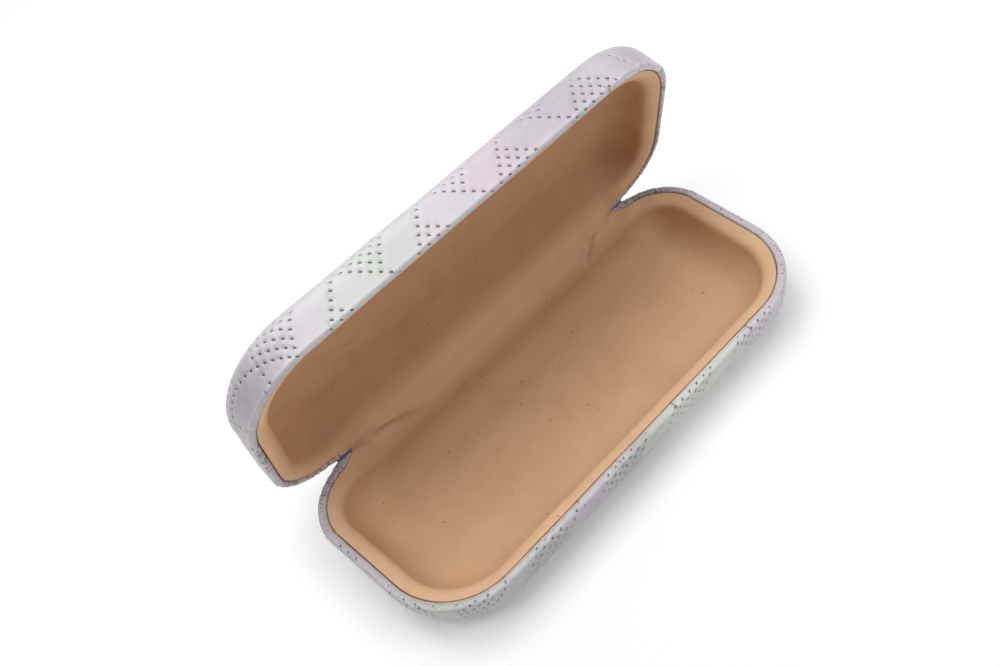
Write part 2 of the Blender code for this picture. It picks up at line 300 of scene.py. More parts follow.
def lining_section(sizes):
    """(offset, depth) from the floor's edge outwards, up the wall and over the soft lip."""
    floor = sizes["height"] - 2.15 * MM
    wall_top = (-5.2 * MM, 4.0 * MM)
    points = quarter(wall_top, 8.8 * MM, floor - wall_top[1])
    points += [(-4.85 * MM, 3.1 * MM), (-4.3 * MM, 2.5 * MM), (-3.4 * MM, 2.0 * MM)]
    points += [(-2.2 * MM, 1.45 * MM), (-1.5 * MM, 1.1 * MM), (sizes["inner"] - 0.15 * MM, 0.75 * MM)]
    return np.array(points)


def smooth_step(x, low, high):
    """0 at low and 1 at high, which may be the smaller, with an even turn between."""
    t = np.clip((x - low) / (high - low), 0, 1)
    return t * t * (3 - 2 * t)


class Cup:
    """Carries points of a flat sheet to a dish in hinge coordinates.

    A point's distance from the rim outline, less than that of the section's first point,
    leaves it on the flat; more is arc length up the section."""

    def __init__(self, sizes, section, faces_out):
        self.side = sizes["side"]
        self.dome = sizes["dome"] if faces_out else 0.0
        self.faces_out = faces_out
        self.section = section
        steps = np.linalg.norm(np.diff(section, axis=0), axis=1)
        self.reach = section[0, 0] + np.concatenate([[0], np.cumsum(steps)])
        slopes = np.gradient(section, self.reach, axis=0)
        self.slopes = slopes / np.linalg.norm(slopes, axis=1)[:, None]

    def reach_at_depth(self, depth):
        """Sheet distance of the wall at this depth, on its outer side."""
        wall = self.section[:, 1] >= depth
        last = np.flatnonzero(wall[: np.argmin(self.section[:, 1]) + 1])[-1]
        return float(np.interp(-depth, -self.section[last : last + 2, 1], self.reach[last : last + 2]))

    def place(self, points, behind=0.0, sink=0.0):
        """Points in hinge coordinates, moved behind the surface by behind and sunk by sink."""
        distance, normals, length = Plan.locate(points)
        offset = np.interp(distance, self.reach, self.section[:, 0])
        depth = np.interp(distance, self.reach, self.section[:, 1])
        out = np.interp(distance, self.reach, self.slopes[:, 0])
        fall = np.interp(distance, self.reach, self.slopes[:, 1])
        flat = distance < self.reach[0]
        offset = np.where(flat, distance, offset)
        crown = smooth_step(self.reach[0] - distance, 0, DOME_RUN) * self.dome
        depth = np.where(flat, self.section[0, 1] + crown, depth)
        out = np.where(flat, 1.0, out)
        fall = np.where(flat, 0.0, fall)
        lift = -(behind + sink) if self.faces_out else behind + sink
        offset = offset - lift * fall
        depth = depth + lift * out
        if self.faces_out:
            depth = self.pressed(points, offset, depth)
        else:
            depth = self.raised(points, offset, depth)
        offset = self.narrowed(points, offset)
        plan = points + (offset - distance)[:, None] * normals
        return np.column_stack([plan, self.side * depth])

    def pressed(self, points, offset, depth):
        """Beside the hinge the two halves' folds lie flat against each other, and their ends
        dip under the lining."""
        x = np.abs(points[:, 0])
        back = (points[:, 1] > BACK_STRIP) * smooth_step(depth, 12 * MM, 5 * MM)
        flat = back * (1 - smooth_step(x, TAPER_END + 1.0 * MM, TAPER_END + 5.0 * MM))
        full = np.clip((depth - RIM_GAP) / ROLL_RISE, 0, 1)
        full = full * np.exp(-((np.maximum(depth - RIM_GAP - ROLL_RISE, 0) / (1.2 * MM)) ** 2))
        depth = depth - PRESSED_SHARE * ROLL_RISE * flat * full * smooth_step(offset, 0.8 * MM, 2.0 * MM)
        under = back * (1 - smooth_step(x, LINED_HALF_LENGTH - 1.4 * MM, LINED_HALF_LENGTH + 0.4 * MM))
        return depth + SKIN_DIP * under * smooth_step(offset, -3 * MM, -0.5 * MM)

    def raised(self, points, offset, depth):
        """The lining lies over the rims at the ends of the hinge."""
        x = np.abs(points[:, 0])
        near = smooth_step(x, NOTCH_HALF_LENGTH - 3 * MM, NOTCH_HALF_LENGTH)
        near = near * (1 - smooth_step(x, LINED_HALF_LENGTH, TAPER_END))
        near = near * (points[:, 1] > BACK_STRIP) * smooth_step(offset, -3.5 * MM, -0.8 * MM)
        return depth - LINING_LIFT * near

    def narrowed(self, points, offset):
        """The fold's inner line runs out to its outer line towards each end of the hinge."""
        x = np.abs(points[:, 0])
        near = 1 - smooth_step(x, LINED_HALF_LENGTH, TAPER_END)
        near = near * smooth_step(x, NOTCH_HALF_LENGTH - 0.7 * MM, LINED_HALF_LENGTH - 1.0 * MM)
        near = near * (points[:, 1] > BACK_STRIP) * smooth_step(offset, -4.0 * MM, -0.4 * MM)
        return RIM_WIDTH - (RIM_WIDTH - offset) * (1 - (1 - FOLD_AT_HINGE) * near)


def to_row(points, side):
    """Hinge coordinates of a half to the row's frame: the lid stands open."""
    angle = OPEN_ANGLE if side > 0 else 0.0
    cosine = math.cos(angle)
    sine = math.sin(angle)
    x, y, z = points.T
    return np.column_stack([x, y * cosine + z * sine, z * cosine - y * sine]) + HINGE


# --- sheets: embossing, points and triangles ----------------------------------------------


def dashes(lattice, rim_reach):
    """Centres of the embossed dashes in sheet coordinates, and the direction they lie in.
    The lattice is given by its distance along X and its distance down from the front rim."""
    right, left = (np.array(lattice[k]) * MM for k in ("right", "left"))
    origin = np.array(lattice["origin"]) * MM
    a, b = np.meshgrid(np.arange(-150, 151), np.arange(-150, 151))
    a, b = a.ravel(), b.ravel()
    phase_a, phase_b = a % PERIOD, b % PERIOD
    square = (phase_a <= SQUARE_STEPS) & (-phase_b % PERIOD <= SQUARE_STEPS)
    lines = np.isin(phase_a, lattice["full_lefts"]) | np.isin(phase_b, lattice["full_rights"])
    keep = square | lines
    places = origin + a[keep, None] * right + b[keep, None] * left
    centres = np.column_stack([places[:, 0], FRONT - rim_reach + places[:, 1]])
    direction = left / np.linalg.norm(left)
    return centres, direction


def triangulate(points, edges=()):
    """Delaunay triangles over plan points, keeping the given edges."""
    loose = [Vector(p) for p in points]
    made = delaunay_2d_cdt(loose, [tuple(int(i) for i in e) for e in edges], [], 0, 1e-9)
    vertices = np.array([tuple(v) for v in made[0]])
    faces = np.array([f for f in made[2] if len(f) == 3])
    return vertices, faces


SHEET_LOW = (-0.12, -0.11)
SHEET_HIGH = (0.12, 0.04)


def rounded(point):
    """A point as whole steps of 0.1 micrometre, which finds it again after triangulation."""
    return tuple(np.round(point * 1e7).astype(int))


def scattered(low, high, spacing):
    """A staggered grid over a rectangle."""
    rows = np.arange(low[1], high[1], spacing * 0.87)
    columns = np.arange(low[0], high[0], spacing)
    x, y = np.meshgrid(columns, rows)
    x[1::2] += spacing / 2
    return np.column_stack([x.ravel(), y.ravel()])


def dash_rings(centres, direction, strength):
    """Points of each dash: an oval on the surface, two ovals below it and its lowest point."""
    angles = np.linspace(0, 2 * math.pi, DASH_POINTS, endpoint=False)
    across = np.array((-direction[1], direction[0]))
    points, sinks = [], []
    for scale, sink in ((1.2, 0.0), (0.98, 0.3), (0.66, 0.95)):
        oval = DASH_HALF_LENGTH * scale * np.cos(angles)[:, None] * direction
        oval = oval + DASH_HALF_WIDTH * scale * np.sin(angles)[:, None] * across
        points.append((centres[:, None, :] + oval).reshape(-1, 2))
        sinks.append(np.repeat(strength * sink, len(angles)))
    points.append(centres)
    sinks.append(strength)
    return np.concatenate(points), np.concatenate(sinks)


def away_from_dashes(points, centres, direction, clearance):
    """Which points lie outside every dash's oval."""
    cell = 2.0 * MM
    buckets = {}
    for centre in centres:
        buckets.setdefault((int(centre[0] // cell), int(centre[1] // cell)), []).append(centre)
    across = np.array((-direction[1], direction[0]))
    reach = np.array((DASH_HALF_LENGTH, DASH_HALF_WIDTH)) * 1.25 + clearance
    keep = np.ones(len(points), bool)
    keys = np.floor(points / cell).astype(int)
    for i, (p, key) in enumerate(zip(points, keys)):
        for dx in (-1, 0, 1):
            for dy in (-1, 0, 1):
                for centre in buckets.get((key[0] + dx, key[1] + dy), ()):
                    v = p - centre
                    if (v @ direction / reach[0]) ** 2 + (v @ across / reach[1]) ** 2 < 1:
                        keep[i] = False
    return keep


def build_mesh(name, outer, inner, faces, attributes):
    """A closed piece: the outer surface, the inner one behind it, and the edge between."""
    count = len(outer)
    halves = np.concatenate([faces[:, [0, 1]], faces[:, [1, 2]], faces[:, [2, 0]]])
    keys = np.sort(halves, axis=1)
    _, inverse, uses = np.unique(keys, axis=0, return_inverse=True, return_counts=True)
    rim = halves[uses[inverse.reshape(-1)] == 1]
    sides = np.concatenate(
        [
            np.column_stack([rim[:, 1], rim[:, 0], rim[:, 0] + count]),
            np.column_stack([rim[:, 1], rim[:, 0] + count, rim[:, 1] + count]),
        ]
    )
    triangles = np.concatenate([faces, faces[:, ::-1] + count, sides])
    mesh = bpy.data.meshes.new(name)
    mesh.from_pydata(np.concatenate([outer, inner]).tolist(), [], triangles.tolist())
    for key, values in attributes.items():
        doubled = np.concatenate([values, values])
        if doubled.ndim == 1:
            mesh.attributes.new(key, "FLOAT", "POINT").data.foreach_set("value", doubled)
        else:
            vectors = mesh.attributes.new(key, "FLOAT_VECTOR", "POINT")
            vectors.data.foreach_set("vector", doubled.ravel())
    solid = bmesh.new()
    solid.from_mesh(mesh)
    bmesh.ops.recalc_face_normals(solid, faces=solid.faces)
    solid.to_mesh(mesh)
    solid.free()
    mesh.shade_smooth()
    mesh.set_sharp_from_angle(angle=math.radians(70))
    made = bpy.data.objects.new(name, mesh)
    bpy.context.scene.collection.objects.link(made)
    return made


def value_noise(points, scale, seed):
    """Smooth noise from -1 to 1 over 2-D points, the same each run."""
    cells = points / scale
    base = np.floor(cells).astype(np.int64)
    part = cells - base
    ease = part * part * (3 - 2 * part)

    def corner(dx, dy):
        n = (base[:, 0] + dx) * 374761393 + (base[:, 1] + dy) * 668265263 + seed * 1442695041
        n = (n ^ (n >> 13)) * 1274126177 & 0x7FFFFFFF
        return ((n ^ (n >> 16)) & 0xFFFF) / 32767.5 - 1

    low = corner(0, 0) * (1 - ease[:, 0]) + corner(1, 0) * ease[:, 0]
    high = corner(0, 1) * (1 - ease[:, 0]) + corner(1, 1) * ease[:, 0]
    return low * (1 - ease[:, 1]) + high * ease[:, 1]


def in_notch(points, cup, margin=0.0):
    line = BACK + cup.reach_at_depth(NOTCH_DEPTH)
    return (np.abs(points[:, 0]) < NOTCH_HALF_LENGTH - margin) & (points[:, 1] > line + margin)


def pleats(length, distance, cup, gathered, seed):
    """How deep the gathers of the fold are: creases across the rim, close together round the
    rear corners and the sides, sparse at the front."""
    random = np.random.default_rng(seed)
    start = cup.reach_at_depth(3.0 * MM)
    depth = np.zeros_like(length)
    for sign in (-1, 1):
        place = NOTCH_HALF_LENGTH + 0.8 * MM
        while place < 215 * MM:
            dense = place < gathered[sign]
            strength = random.uniform(0.35, 1.0)
            width = random.uniform(0.14, 0.30) * MM
            lean = random.uniform(-0.25, 0.25)
            far = random.uniform(0.0, 1.0) ** 2
            beside = np.abs(length * sign - place - lean * (distance - cup.reach[-1]))
            reach = smooth_step(distance, start - 1.5 * MM * far, start + 1.6 * MM)
            depth = np.maximum(depth, strength * np.exp(-((beside / width) ** 2)) * reach)
            place += random.uniform(0.55, 1.6) * MM if dense else random.uniform(9, 26) * MM
    return depth


def build_skin(name, sizes, lattice, replaced, seed):
    """One half's leatherette cover."""
    cup = Cup(sizes, skin_section(sizes), faces_out=True)
    strip_start = cup.reach_at_depth(2.6 * MM)
    end = cup.reach[-1]
    notch_line = BACK + cup.reach_at_depth(NOTCH_DEPTH)
    rim_reach = cup.reach_at_depth(sizes["height"] - sizes["rise"])
    rim_reach += sizes["height"] - sizes["rise"]
    centres, direction = dashes(lattice, rim_reach)
    distance = Plan.locate(centres)[0]
    near = (distance < end - 2.2 * MM) & ~in_notch(centres, cup, -1.2 * MM)
    centres = centres[near]
    stretched = smooth_step(distance[near], rim_reach + 0.2 * MM, rim_reach + 1.6 * MM)

    grid = scattered(SHEET_LOW, SHEET_HIGH, FLAT_SPACING)
    grid = grid[Plan.locate(grid)[0] < strip_start - 0.4 * MM]
    rows = [grid]
    for reach in np.concatenate(
        [
            np.arange(strip_start, end - ROLL_REACH, WALL_SPACING),
            np.arange(end - ROLL_REACH, end - 1.3 * MM, ROLL_SPACING),
            [end - 0.8 * MM],
        ]
    ):
        rows.append(Plan.loop(reach, LOOP_SPACING))
    grid = np.concatenate(rows)
    grid = grid[~in_notch(grid, cup, -0.3 * MM)]
    grid = grid[away_from_dashes(grid, centres, direction, 0.12 * MM)]

    loop = Plan.loop(end, LOOP_SPACING)
    loop = loop[np.abs(loop[:, 0]) + (loop[:, 1] < 0) > NOTCH_HALF_LENGTH - 1e-6]
    step = 0.45 * MM
    drop = np.linspace(BACK + end, notch_line, round((BACK + end - notch_line) / step))[1:]
    across = np.linspace(-NOTCH_HALF_LENGTH, NOTCH_HALF_LENGTH, round(110 * MM / step))[1:]
    border = np.concatenate(
        [
            loop,
            np.column_stack([np.full(len(drop), -NOTCH_HALF_LENGTH), drop]),
            np.column_stack([across, np.full(len(across), notch_line)]),
            np.column_stack([np.full(len(drop) - 1, NOTCH_HALF_LENGTH), drop[-2::-1]]),
        ]
    )
    rings, sinks = dash_rings(centres, direction, 1 - 0.5 * stretched)
    points = np.concatenate([border, rings, grid])
    sink = np.concatenate([np.zeros(len(border)), sinks, np.zeros(len(grid))])
    chain = np.arange(len(border))
    vertices, faces = triangulate(points, np.column_stack([chain, np.roll(chain, -1)]))
    middles = vertices[faces].mean(1)
    faces = faces[~in_notch(middles, cup)]

    known = {rounded(point): s for point, s in zip(points, sink)}
    dash = np.array([known.get(rounded(vertex), 0.0) for vertex in vertices])
    distance, _, length = Plan.locate(vertices)
    pleat = pleats(length, distance, cup, sizes["gathered"], seed)
    wave = value_noise(vertices, 7 * MM, seed) * 0.05 * MM
    wave += value_noise(vertices, 2.2 * MM, seed + 1) * 0.015 * MM
    wave = wave * smooth_step(distance, cup.reach[0] - 10 * MM, cup.reach[0] + 2 * MM)
    sinking = dash * DASH_SINK + pleat * PLEAT_SINK + wave
    outer = to_row(cup.place(vertices, sink=sinking), cup.side)
    inner = to_row(cup.place(vertices, behind=SKIN_THICKNESS), cup.side)
    attributes = {
        "sheet": np.column_stack([vertices * 1000, np.full(len(vertices), float(seed))]),
        "dash": dash,
        "pleat": pleat,
        "rim": smooth_step(distance, end - 5.6 * MM, end - 4.2 * MM),
    }
    skin = build_mesh(name, outer, inner, faces, attributes)
    patches = [((*centre, float(seed)), radius, tint) for centre, radius, tint in sizes["patches"]]
    skin.data.materials.append(leatherette(name + "_pearl", sizes["pearl"], patches))
    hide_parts(replaced)
    return skin


# --- the lining, the spine and its ends ---------------------------------------------------

BISECTOR = math.pi - OPEN_ANGLE / 2
BLEND_ALONG = Vector((0, math.sin(OPEN_ANGLE / 2), math.cos(OPEN_ANGLE / 2)))
BRIDGE_ROWS = 14
TIP_REACH = 0.7 * MM
LINING_SPACING = 1.5 * MM
LINING_LOOP_SPACING = 0.8 * MM
# Paleness of the lining: in the base's tray it is painted light; on the lip and over the hinge's bulge it is
# painted sheen together with wear.
TRAY_PAINTED_LIGHT = 0.38
LIP_SHEEN_AND_WEAR = 0.85
HINGE_SHEEN_AND_WEAR = 0.95


def blend_over_hinge(piece):
    """Bakes the piece's placement into its mesh."""
    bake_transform(piece)


def lining_cup(sizes, seed, paleness):
    """One half of the lining: its points, its triangles, its edge at the hinge from left to
    right, how pale each point is (paleness in the tray, which is painted light, and more on the
    lip, which is painted sheen with wear), and 1 where the lining is glued into the fold, to paint the shade in
    the gap there."""
    cup = Cup(sizes, lining_section(sizes), faces_out=False)
    end = cup.reach[-1]
    grid = scattered(SHEET_LOW, SHEET_HIGH, LINING_SPACING)
    grid = grid[Plan.locate(grid)[0] < end - 6.2 * MM]
    lip = np.arange(end - 5.8 * MM, end, 0.5 * MM)
    rows = [Plan.loop(reach, LINING_LOOP_SPACING) for reach in lip]
    loop = Plan.loop(end, LINING_LOOP_SPACING)
    vertices, faces = triangulate(np.concatenate([loop, grid] + rows))
    distance = Plan.locate(vertices)[0]
    wave = value_noise(vertices, 16 * MM, seed) * 0.10 * MM
    wave += value_noise(vertices, 5 * MM, seed + 1) * 0.04 * MM
    wave += value_noise(vertices, 1.7 * MM, seed + 2) * 0.012 * MM
    # The outer loop, except the edge at the hinge, gets the painted shade of the gap under the fold.
    seam_shade = distance > end - 1e-7
    edge = seam_shade & (vertices[:, 1] > BACK) & (np.abs(vertices[:, 0]) < LINED_HALF_LENGTH + 1e-7)
    seam_shade = (seam_shade & ~edge).astype(float)
    edge = np.flatnonzero(edge)
    edge = edge[np.argsort(vertices[edge, 0])]
    outer = to_row(cup.place(vertices, sink=wave), cup.side)
    on_lip = smooth_step(distance, end - 6.0 * MM, end - 1.5 * MM)
    # The lip is paler still: painted sheen along its rounded edge, with wear.
    wear_and_sheen = paleness + (LIP_SHEEN_AND_WEAR - paleness) * on_lip
    return outer, faces, edge, wear_and_sheen, seam_shade


def bridge(edge_points):
    """Rows of points over the hinge, from the base's edge to the lid's, both left out."""
    y, z = (edge_points - HINGE)[:, 1:].T
    radius = np.hypot(y, z)
    start = np.arctan2(z, y) % (2 * math.pi)
    x = edge_points[:, 0]
    tip = TIP_REACH * np.sign(x) * smooth_step(np.abs(x), NOTCH_HALF_LENGTH, LINED_HALF_LENGTH)
    rows = []
    for k in range(1, BRIDGE_ROWS):
        part = k / BRIDGE_ROWS
        angle = start + 2 * (BISECTOR - start) * part
        swell = 1 + 0.16 * math.sin(math.pi * part)
        out = x + tip * math.sin(math.pi * part)
        row = [out, radius * swell * np.cos(angle), radius * swell * np.sin(angle)]
        rows.append(np.column_stack(row) + HINGE)
    return rows


def softened(points, faces, share, rounds):
    """Points moved towards the mean of their neighbours, each by its share, several times."""
    pairs = np.concatenate([faces[:, [0, 1]], faces[:, [1, 2]], faces[:, [2, 0]]])
    pairs = np.concatenate([pairs, pairs[:, ::-1]])
    uses = np.bincount(pairs[:, 0], minlength=len(points))[:, None]
    for _ in range(rounds):
        sums = np.zeros_like(points)
        np.add.at(sums, pairs[:, 0], points[pairs[:, 1]])
        points = points + share[:, None] * (sums / uses - points)
    return points


def surface_normals(points, faces):
    a, b, c = points[faces[:, 0]], points[faces[:, 1]], points[faces[:, 2]]
    across = np.cross(b - a, c - a)
    normals = np.zeros_like(points)
    for k in range(3):
        np.add.at(normals, faces[:, k], across)
    return normals / np.maximum(np.linalg.norm(normals, axis=1), 1e-12)[:, None]


# Start and end of each crease: along X, and across the hinge from its axis, in millimetres.
CREASES = (((-52.5, 0.2), (-33.0, -5.2)), ((48.0, -1.2), (38.0, -7.5)))


def tension_creases(points):
    """Depth of the two creases that run from the ends of the hinge down into the base, and the
    painted shade in their grooves."""
    x = points[:, 0]
    across = (points - HINGE) @ np.array(BLEND_ALONG)
    depth, dark = np.zeros(len(points)), np.zeros(len(points))
    for start, end in CREASES:
        start, end = np.array(start) * MM, np.array(end) * MM
        along = (end - start) / np.linalg.norm(end - start)
        side = np.array((-along[1], along[0])) * np.sign(along[0])
        relative = np.column_stack([x, across]) - start
        reach = relative @ along / np.linalg.norm(end - start)
        beside = relative @ side
        fade = smooth_step(reach, -0.05, 0.15) * (1 - smooth_step(reach, 0.55, 1.05))
        groove = np.exp(-((beside / (0.75 * MM)) ** 2)) * fade
        ridge = np.exp(-(((beside - 2.0 * MM) / (1.3 * MM)) ** 2)) * fade
        depth += (0.5 * groove - 0.8 * ridge) * MM
        dark += groove
    return depth, dark


def build_lining():
    """The lining runs from the base's tray over the hinge into the lid, in one piece."""
    base_outer, base_faces, base_edge, base_wear_and_sheen, base_seam_shade = lining_cup(BASE, 31, TRAY_PAINTED_LIGHT)
    lid_outer, lid_faces, lid_edge, lid_wear_and_sheen, lid_seam_shade = lining_cup(LID, 47, 0.0)
    outer = np.concatenate([base_outer, lid_outer] + bridge(base_outer[base_edge]))
    count = len(base_edge)
    first = len(base_outer) + len(lid_outer)
    lines = [base_edge]
    lines += [first + count * k + np.arange(count) for k in range(BRIDGE_ROWS - 1)]
    lines.append(len(base_outer) + lid_edge)
    faces = [base_faces, lid_faces[:, ::-1] + len(base_outer)]
    for lower, upper in zip(lines, lines[1:]):
        faces.append(np.column_stack([lower[:-1], lower[1:], upper[1:]]))
        faces.append(np.column_stack([lower[:-1], upper[1:], upper[:-1]]))
    faces = np.concatenate(faces)
    radius = np.hypot(*(outer - HINGE)[:, 1:].T)
    share = 1 - smooth_step(radius, 6.0 * MM, 9.0 * MM)
    share *= 1 - smooth_step(np.abs(outer[:, 0]), 55.0 * MM, LINED_HALF_LENGTH)
    outer = softened(outer, faces, 0.8 * share, 22)
    normals = surface_normals(outer, faces)
    depth, crease_shade = tension_creases(outer)
    outer = outer - normals * depth[:, None]
    inner = outer - normals * LINING_THICKNESS
    # Over the hinge the tray's painted light is taken off, and painted sheen with wear is added on the bulge.
    wear_and_sheen = np.concatenate([base_wear_and_sheen, lid_wear_and_sheen, np.zeros(count * (BRIDGE_ROWS - 1))])
    straight = 1 - smooth_step(np.abs(outer[:, 0]), 50 * MM, 64 * MM)
    wear_and_sheen = wear_and_sheen * (1 - straight * (1 - smooth_step(radius, 8 * MM, 16 * MM)))
    wear_and_sheen += HINGE_SHEEN_AND_WEAR * straight * (1 - smooth_step(radius, 2 * MM, 12 * MM))
    seam_shade = np.concatenate([base_seam_shade, lid_seam_shade, np.zeros(count * (BRIDGE_ROWS - 1))])
    attributes = {"rest": outer * 1000, "wear_and_sheen": wear_and_sheen, "crease_shade": crease_shade, "seam_shade": seam_shade}
    lining = build_mesh("lining", outer, inner, faces, attributes)
    lining.data.materials.append(flock())
    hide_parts("base_liner", "lid_liner", "liner_bridge")
    blend_over_hinge(lining)


def mirrored(path):
    """A path of (y, z) hinge points on the base's side, carried on to its mirror image."""
    turn = 2 * (BISECTOR - math.pi)
    cosine, sine = math.cos(turn), math.sin(turn)
    other = [(y * cosine + z * sine, y * sine - z * cosine) for y, z in reversed(path)]
    return np.array(path + other) * MM


def smooth_path(points, step):
    """Points along the Catmull-Rom curve through these, step apart."""
    padded = np.concatenate([[2 * points[0] - points[1]], points, [2 * points[-1] - points[-2]]])
    fine = []
    for p, q, r, s in zip(padded, padded[1:], padded[2:], padded[3:]):
        for t in np.linspace(0, 1, 12, endpoint=False):
            cubic = 2 * q + (r - p) * t + (2 * p - 5 * q + 4 * r - s) * t * t
            fine.append((cubic + (3 * q - p - 3 * r + s) * t**3) / 2)
    fine = np.array(fine + [points[-1]])
    reach = np.concatenate([[0], np.cumsum(np.linalg.norm(np.diff(fine, axis=0), axis=1))])
    even = np.linspace(0, reach[-1], round(reach[-1] / step) + 1)
    return np.column_stack([np.interp(even, reach, fine[:, k]) for k in (0, 1)])


# Half of the strip's section over the hinge, in (y, z) millimetres from the hinge's axis.
SPINE_PATH = [(-0.75, -4.95), (-0.42, -4.25), (-0.26, -3.9), (-0.16, -3.2), (0.22, -2.55), (0.95, -2.1)]
SPINE_HALF_LENGTH = 54.7 * MM
STRIP_STEP = 0.3 * MM
STRIP_COLUMN = 0.5 * MM


def swept_sheet(name, path, ends, thickness, seed, shade=0.0, flare=0.0):
    """A strip of leatherette: the (y, z) path carried along X between ends, with its outer end
    hollowed by flare; shade paints the gathers' painted shade over the whole strip."""
    fine = smooth_path(path, STRIP_STEP)
    tangent = np.gradient(fine, axis=0)
    tangent /= np.linalg.norm(tangent, axis=1)[:, None]
    behind = fine + thickness * np.column_stack([-tangent[:, 1], tangent[:, 0]])
    columns = np.linspace(*ends, round((ends[1] - ends[0]) / STRIP_COLUMN) + 1)
    rows = len(fine)
    outermost = np.abs(columns).max()
    x = np.repeat(columns, rows)
    hollow = np.tile(np.linspace(-1, 1, rows) ** 2 - 1, len(columns))
    x = x + flare * hollow * smooth_step(np.abs(x), 0.7 * outermost, outermost)
    reach = np.tile(np.arange(rows) * STRIP_STEP, len(columns))
    flat = np.column_stack([x, reach])
    wave = value_noise(flat, 3.0 * MM, seed) * 0.06 * MM
    wave += value_noise(flat * (1, 3), 1.2 * MM, seed) * 0.02 * MM
    side = np.column_stack([tangent[:, 1], -tangent[:, 0]])
    outer = np.tile(fine, (len(columns), 1)) + wave[:, None] * np.tile(side, (len(columns), 1))
    inner = np.tile(behind, (len(columns), 1))
    index = np.arange(len(columns) * rows).reshape(len(columns), rows)
    a, b = index[:-1, :-1].ravel(), index[1:, :-1].ravel()
    c, d = index[1:, 1:].ravel(), index[:-1, 1:].ravel()
    faces = np.concatenate([np.column_stack([a, b, c]), np.column_stack([a, c, d])])
    attributes = {
        "sheet": np.column_stack([flat * 1000, np.full(len(flat), float(seed))]),
        "dash": np.zeros(len(flat)),
        "pleat": np.full(len(flat), shade),
        "rim": np.zeros(len(flat)),
    }
    outer = np.column_stack([x, outer]) + HINGE
    inner = np.column_stack([x, inner]) + HINGE
    strip = build_mesh(name, outer, inner, faces, attributes)
    strip.data.materials.append(leatherette(name + "_pearl", LID["pearl"]))
    return strip


def build_spine():
    ends = (-SPINE_HALF_LENGTH, SPINE_HALF_LENGTH)
    spine = swept_sheet("spine", mirrored(SPINE_PATH), ends, 0.4 * MM, 59)
    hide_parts("spine_cover")
    blend_over_hinge(spine)


EAR_PATH = [(-0.14, -0.95), (-0.03, -0.6), (0.10, -0.25)]
EAR_SPAN = (54.9 * MM, 67.5 * MM)
EAR_FLARE = 3 * MM


def build_ears():
    """The web of leatherette that joins both folds just beyond each end of the hinge, painted dark all over as a
    line of shade.
    """
    for label, sign in (("left", -1), ("right", 1)):
        ends = sorted((sign * EAR_SPAN[0], sign * EAR_SPAN[1]))
        path = mirrored(EAR_PATH)
        # 1.0: the whole web takes the painted shade of the gathers.
        ear = swept_sheet("spine_end_" + label, path, ends, 0.3 * MM, 67, 1.0, sign * EAR_FLARE)
        blend_over_hinge(ear)


# --- materials ----------------------------------------------------------------------------


class Paint:
    """A material's node tree, with short calls for the nodes that the finishes share."""

    def __init__(self, name):
        self.material = bpy.data.materials.new(name)
        self.material.use_nodes = True
        self.tree = self.material.node_tree
        self.shader = self.tree.nodes["Principled BSDF"]

    def put(self, socket, value):
        """Sets a socket to a number, a colour or another node's output."""
        if isinstance(value, bpy.types.NodeSocket):
            self.tree.links.new(value, socket)
        elif isinstance(value, tuple) and len(value) == 3 and socket.type == "RGBA":
            socket.default_value = (*value, 1)
        else:
            socket.default_value = value

    def set(self, **values):
        for key, value in values.items():
            self.put(self.shader.inputs[key.replace("_", " ")], value)

    def attribute(self, name, output):
        node = self.tree.nodes.new("ShaderNodeAttribute")
        node.attribute_name = name
        return node.outputs[output]

    def noise(self, where, scale, detail=2.0, roughness=0.5, distortion=0.0):
        node = self.tree.nodes.new("ShaderNodeTexNoise")
        self.put(node.inputs["Vector"], where)
        self.put(node.inputs["Scale"], scale)
        self.put(node.inputs["Detail"], detail)
        self.put(node.inputs["Roughness"], roughness)
        self.put(node.inputs["Distortion"], distortion)
        return node.outputs["Fac"]

    def voronoi(self, where, scale, feature="F1"):
        node = self.tree.nodes.new("ShaderNodeTexVoronoi")
        node.feature = feature
        self.put(node.inputs["Vector"], where)
        self.put(node.inputs["Scale"], scale)
        return node.outputs["Distance"]

    def math(self, operation, first, second=0.0):
        node = self.tree.nodes.new("ShaderNodeMath")
        node.operation = operation
        self.put(node.inputs[0], first)
        self.put(node.inputs[1], second)
        return node.outputs[0]

    def map(self, value, low, high, new_low=0.0, new_high=1.0):
        node = self.tree.nodes.new("ShaderNodeMapRange")
        node.interpolation_type = "SMOOTHSTEP"
        for socket, given in zip(node.inputs, (value, low, high, new_low, new_high)):
            self.put(socket, given)
        return node.outputs[0]

    def mix(self, share, first, second, blend="MIX"):
        node = self.tree.nodes.new("ShaderNodeMix")
        node.data_type = "RGBA"
        node.blend_type = blend
        self.put(node.inputs[0], share)
        self.put(node.inputs[6], first)
        self.put(node.inputs[7], second)
        return node.outputs[2]

    def ramp(self, value, stops):
        node = self.tree.nodes.new("ShaderNodeValToRGB")
        node.color_ramp.interpolation = "EASE"
        elements = node.color_ramp.elements
        while len(elements) < len(stops):
            elements.new(0.5)
        for element, (place, colour) in zip(elements, stops):
            element.position = place
            element.color = (*colour, 1)
        self.put(node.inputs[0], value)
        return node.outputs[0]

    def split(self, vector):
        node = self.tree.nodes.new("ShaderNodeSeparateXYZ")
        self.put(node.inputs[0], vector)
        return node.outputs

    def distance(self, first, second):
        node = self.tree.nodes.new("ShaderNodeVectorMath")
        node.operation = "DISTANCE"
        self.put(node.inputs[0], first)
        self.put(node.inputs[1], second)
        return node.outputs["Value"]

    def bump(self, height, distance, strength=1.0, before=None):
        node = self.tree.nodes.new("ShaderNodeBump")
        self.put(node.inputs["Height"], height)
        self.put(node.inputs["Distance"], distance)
        self.put(node.inputs["Strength"], strength)
        if before is not None:
            self.put(node.inputs["Normal"], before)
        return node.outputs[0]


